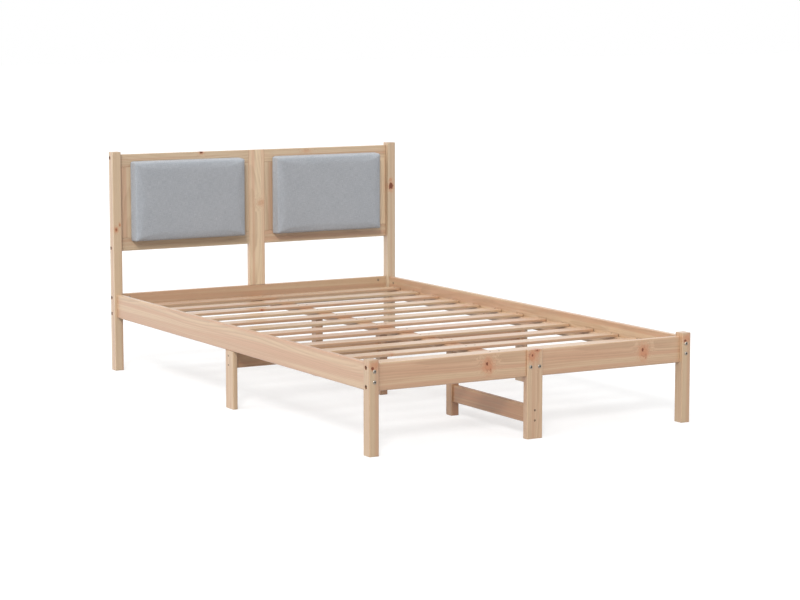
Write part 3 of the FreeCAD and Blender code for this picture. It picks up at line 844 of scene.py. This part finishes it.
def padded_panel(name, low, high, settings):
    """A foam pad under pulled cloth, held flat at its back and filled until it is crowned."""
    swell = settings.swell
    start_low = low + Vector((0.5, 1, 0.5)) * swell
    start_high = high - Vector((0.5 * swell, 0.9 * MM, 0.5 * swell))
    piece = block(name, (start_low + start_high) / 2, start_high - start_low)
    back = start_high.y - 0.1 * MM
    for offset, segments, at_back in ((settings.roll, 6, False), (2.5 * MM, 2, True)):
        start_editing("DESELECT")
        select_edges(piece, lambda a, b: (min(a.y, b.y) > back) == at_back)
        bpy.ops.mesh.bevel(offset=offset, segments=segments, clamp_overlap=True)
        stop_editing()
    modify(piece, "REMESH", mode="VOXEL", voxel_size=settings.voxel)
    start = [v.co.copy() for v in piece.data.vertices]
    # The cloth is held where it lies on the board
    board = start_high.y - 7 * MM
    held = piece.vertex_groups.new(name="held")
    held.add([n for n, co in enumerate(start) if co.y > board], 1, "REPLACE")
    fill_with_foam(piece, settings)
    for vertex, co in zip(piece.data.vertices, start):
        move = vertex.co - co
        vertex.co = co + move.normalized() * swell * math.tanh(move.length / swell)
    piece.vertex_groups.clear()
    modify(piece, "SMOOTH", iterations=4)
    modify(piece, "SUBSURF", levels=1, render_levels=1)
    # Just inside the box, so that the pad's surface never lies on it
    fit_to_box(piece, low + Vector((0.4, 0.4, 0.4)) * MM, high - Vector((0.4, 0.2, 0.4)) * MM)
    shade_smooth(piece, angle=60)
    return piece


def fit_to_box(piece, low, high):
    """Stretches the mesh a little, so that it fills the box between two corners."""
    for k in range(3):
        values = [vertex.co[k] for vertex in piece.data.vertices]
        least, most = min(values), max(values)
        for vertex, value in zip(piece.data.vertices, values):
            vertex.co[k] = low[k] + (value - least) / (most - least) * (high[k] - low[k])


def fill_with_foam(piece, settings):
    """Blows the cloth up against its held back and keeps the shape that it takes."""
    cloth = piece.modifiers.new("cloth", "CLOTH")
    makeup = {
        "quality": 6, "mass": 0.3, "tension_stiffness": 25, "compression_stiffness": 25,
        "shear_stiffness": 10, "bending_stiffness": 2, "vertex_group_mass": "held",
        "use_pressure": True, "uniform_pressure_force": settings.pressure}
    for key, value in makeup.items():
        setattr(cloth.settings, key, value)
    cloth.settings.effector_weights.gravity = 0
    frames = 20
    cloth.point_cache.frame_end = frames
    for step in range(1, frames + 1):
        bpy.context.scene.frame_set(step)
    apply_modifiers(piece)
    bpy.context.scene.frame_set(1)


class BED_OT_panel_backs(bpy.types.Operator):
    """Turns the panels' cloth over the backs of their boards and staples it there"""

    bl_idname = "bed.make_panel_backs"
    bl_label = "Make the panels' backs"

    def execute(self, context):
        settings = context.scene.bed_panel
        for side in ("left", "right"):
            low, high = frame_opening(side)
            width = settings.turned
            cloth = turned_cloth("turned_cloth_" + side, low, high, width)
            finish_with(cloth, "panel_linen")
            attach(cloth, "root")
            staples = staple_row("panel_staples_" + side, low, high, width, settings.staple_gap)
            finish_with(staples, "bolt_zinc")
            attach(staples, "root")
        return {"FINISHED"}


def frame_opening(side):
    """Two corners of the opening in a headboard frame, on the back face of the panel's board."""
    boxes = [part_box(f"headboard_{place}_stile_{side}") for place in ("outer", "inner")]
    boxes.sort(key=lambda box: box[0].x)
    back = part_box("panel_board_" + side)[1].y
    low = Vector((boxes[0][1].x, back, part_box("headboard_bottom_rail_" + side)[1].z))
    high = Vector((boxes[1][0].x, back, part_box("headboard_top_rail_" + side)[0].z))
    return low, high


def turned_cloth(name, low, high, width):
    """A flat frame of cloth with an uneven inner edge and a fold across each corner."""
    gap, thick, rows = 0.4 * MM, 0.5 * MM, 4
    middle = (low + high) / 2
    half = (high - low) / 2
    clear_selection()
    bpy.ops.mesh.primitive_plane_add(size=1, location=middle, rotation=(-math.pi / 2, 0, 0))
    piece = bpy.context.object
    piece.name = piece.data.name = name
    piece.scale = (high.x - low.x - 2 * gap, high.z - low.z - 2 * gap, 1)
    apply_place(piece)
    start_editing()
    for _ in range(rows):
        bpy.ops.mesh.inset(thickness=width / rows)
    bpy.ops.mesh.delete(type="FACE")
    select_edges(piece, lambda a, b: min(abs(b.x - a.x), abs(b.z - a.z)) < 1e-5)
    bpy.ops.mesh.subdivide(number_cuts=96)
    stop_editing()
    for vertex in piece.data.vertices:
        co = vertex.co
        reach = [half.x - abs(co.x - middle.x), half.z - abs(co.z - middle.z)]
        # Nothing at the outer edge and everything at the inner one
        share = min(reach) / width
        wave = noise.noise(co * 40) * 3.4 * MM + noise.noise(co * 160) * 1.2 * MM
        crease = max(0, 1 - abs(reach[0] - reach[1]) / (7 * MM))
        lift = 0.1 * MM + share * (0.25 + noise.noise(co * 70)) * 0.4 * MM + 0.9 * MM * crease * share
        for axis, near in ((0, reach[0] <= reach[1] + 0.1 * MM), (2, reach[1] <= reach[0] + 0.1 * MM)):
            if near:
                co[axis] += math.copysign(wave * share * share, middle[axis] - co[axis])
        co.y += max(lift, 0.1 * MM)
    modify(piece, "SOLIDIFY", thickness=thick, offset=1)
    shade_smooth(piece, angle=50)
    return piece


def staple_row(name, low, high, width, spacing):
    """Staples along the four sides of the turned-over cloth, as one piece of separate wires."""
    master = block("staple", (0, 0, 0), Vector((10, 1, 0.6)) * MM)
    start_editing()
    select_edges(master, lambda a, b: abs(a.x - b.x) > 5 * MM)
    bpy.ops.mesh.subdivide(number_cuts=6)
    bpy.ops.mesh.select_all(action="SELECT")
    bpy.ops.mesh.bevel(offset=0.15 * MM, segments=1, clamp_overlap=True)
    stop_editing()
    for vertex in master.data.vertices:
        vertex.co.z -= 0.7 * MM * max(0, (abs(vertex.co.x) - 3.6 * MM) / (1.4 * MM)) ** 2
    chance = random.Random(name)
    flat = Matrix.Rotation(-math.pi / 2, 4, "X")
    inset = 0.5 * width
    wires = []
    for axis, other in ((0, 2), (2, 0)):
        run = high[axis] - low[axis] - 2 * inset
        count = round(run / spacing)
        for edge in (low[other] + inset, high[other] - inset):
            for number in range(count):
                place = low.copy()
                along = (number + 0.5) * run / count + chance.uniform(-3, 3) * MM
                place[axis] = low[axis] + inset + along
                place[other] = edge + chance.uniform(-1.5, 1.5) * MM
                place.y = low.y + MM
                lean = (0 if axis == 0 else math.pi / 2) + chance.uniform(-0.2, 0.2)
                wire = spare_copy(master)
                wire.data.transform(Matrix.Translation(place) @ Matrix.Rotation(lean, 4, "Y") @ flat)
                wires.append(wire)
    bpy.data.objects.remove(master)
    pick(wires[0])
    for wire in wires:
        wire.select_set(True)
    bpy.ops.object.join()
    wires[0].name = wires[0].data.name = name
    return wires[0]


class BED_OT_stage(bpy.types.Operator):
    """Sets the pale floor, the soft light and the camera"""

    bl_idname = "bed.make_stage"
    bl_label = "Set the stage"

    def execute(self, context):
        settings = context.scene.bed_stage
        clear_selection()
        bpy.ops.mesh.primitive_plane_add(size=80)
        floor = context.object
        floor.name = floor.data.name = "floor"
        floor.data.materials.append(floor_material(settings))
        context.scene.world = world = bpy.data.worlds.new("studio")
        world.use_nodes = True
        tree = world.node_tree
        tree.nodes.clear()
        # The lighting sky, and the pure white that the camera sees
        soft, white = (
            put(tree, "ShaderNodeBackground", {"Color": (1, 1, 1, 1), "Strength": strength}).outputs[0]
            for strength in (settings.sky, 1))
        both = put(tree, "ShaderNodeMixShader", {0: seen_by_camera(tree), 1: soft, 2: white})
        put(tree, "ShaderNodeOutputWorld", {"Surface": both.outputs[0]})
        lamps = (("main_light", settings.key, 12, (0.48, 0.685, -0.548)),
                 ("side_light", settings.side, 80, (0.85, -0.15, -0.5)),
                 ("top_light", settings.top, 90, (0.1, 0, -1)))
        for label, strength, spread, direction in lamps:
            bpy.ops.object.light_add(type="SUN", location=(-3, -3, 5))
            lamp = context.object
            lamp.name = lamp.data.name = label
            lamp.data.energy = strength
            lamp.data.angle = math.radians(spread)
            lamp.rotation_euler = Vector(direction).to_track_quat("-Z", "Y").to_euler()
        bpy.ops.object.camera_add(location=CAMERA_PLACE, rotation=(
            math.radians(90 - CAMERA_TILT), 0, math.radians(CAMERA_TURN)))
        camera = context.object
        camera.name = camera.data.name = "camera"
        camera.data.lens = settings.lens
        camera.data.sensor_width = 36
        camera.data.clip_end = 200
        context.scene.camera = camera
        context.scene.view_settings.view_transform = "Standard"
        return {"FINISHED"}


def seen_by_camera(tree):
    """One for the rays that the camera sees straight or mirrored, and zero for the rest."""
    rays = tree.nodes.new("ShaderNodeLightPath").outputs
    return calc(tree, "MAXIMUM", rays["Is Camera Ray"], rays["Is Glossy Ray"])


def floor_material(settings):
    """A pale floor that the camera sees as white outside the shadows."""
    material, tree, both = new_material("floor_paper", kind="ShaderNodeAddShader")
    place = tree.nodes.new("ShaderNodeTexCoord").outputs["Object"]
    cloud = ease(tree, grain_noise(tree, place, (0.6, 0.6, 0.6)), 0.3, 0.7, 0, 0.03)
    colour = mix(tree, cloud, rgba(settings.floor), (0.42, 0.42, 0.42, 1))
    lit = put(tree, "ShaderNodeBsdfDiffuse", {"Color": colour})
    lift = times(tree, seen_by_camera(tree), settings.lift)
    glow = put(tree, "ShaderNodeEmission", {"Color": (1, 1, 1, 1), "Strength": lift})
    tree.links.new(lit.outputs[0], both.inputs[0])
    tree.links.new(glow.outputs[0], both.inputs[1])
    return material


class BED_PT_sidebar(bpy.types.Panel):
    bl_label = "Bed frame"
    bl_idname = "BED_PT_sidebar"
    bl_space_type = "VIEW_3D"
    bl_region_type = "UI"
    bl_category = "Bed frame"

    def draw(self, context):
        for operator in OPERATORS:
            self.layout.operator(operator.bl_idname)
        for name in GROUPS:
            box = self.layout.box()
            settings = getattr(context.scene, name)
            for field in settings.bl_rna.properties:
                if not field.is_readonly and field.identifier != "name":
                    box.prop(settings, field.identifier)


OPERATORS = (BED_OT_timber, BED_OT_panels, BED_OT_panel_backs, BED_OT_button_bolts,
             BED_OT_sunk_bolts, BED_OT_barrel_nuts, BED_OT_screws, BED_OT_stage)
GROUPS = {"bed_pine": PineSettings, "bed_panel": PanelSettings, "bed_hardware": HardwareSettings,
          "bed_stage": StageSettings}


def register():
    for item in (*GROUPS.values(), *OPERATORS, BED_PT_sidebar):
        bpy.utils.register_class(item)
    for name, item in GROUPS.items():
        setattr(bpy.types.Scene, name, bpy.props.PointerProperty(type=item))


def unregister():
    for name in GROUPS:
        delattr(bpy.types.Scene, name)
    for item in (BED_PT_sidebar, *reversed(OPERATORS), *reversed(GROUPS.values())):
        bpy.utils.unregister_class(item)


def main():
    register()
    hardware = bpy.context.scene.bed_hardware
    steel_material("bolt_zinc", hardware.zinc)
    steel_material("dull_steel_and_painted_shade", hardware.dull)
    steel_material("socket_painted_shade", hardware.socket)
    bpy.ops.bed.finish_timber()
    bpy.ops.bed.make_panels()
    bpy.ops.bed.make_panel_backs()
    bpy.ops.bed.make_button_bolts()
    bpy.ops.bed.make_sunk_bolts()
    bpy.ops.bed.make_barrel_nuts()
    bpy.ops.bed.make_screws()
    bpy.ops.bed.make_stage()


if __name__ == "__main__":
    main()
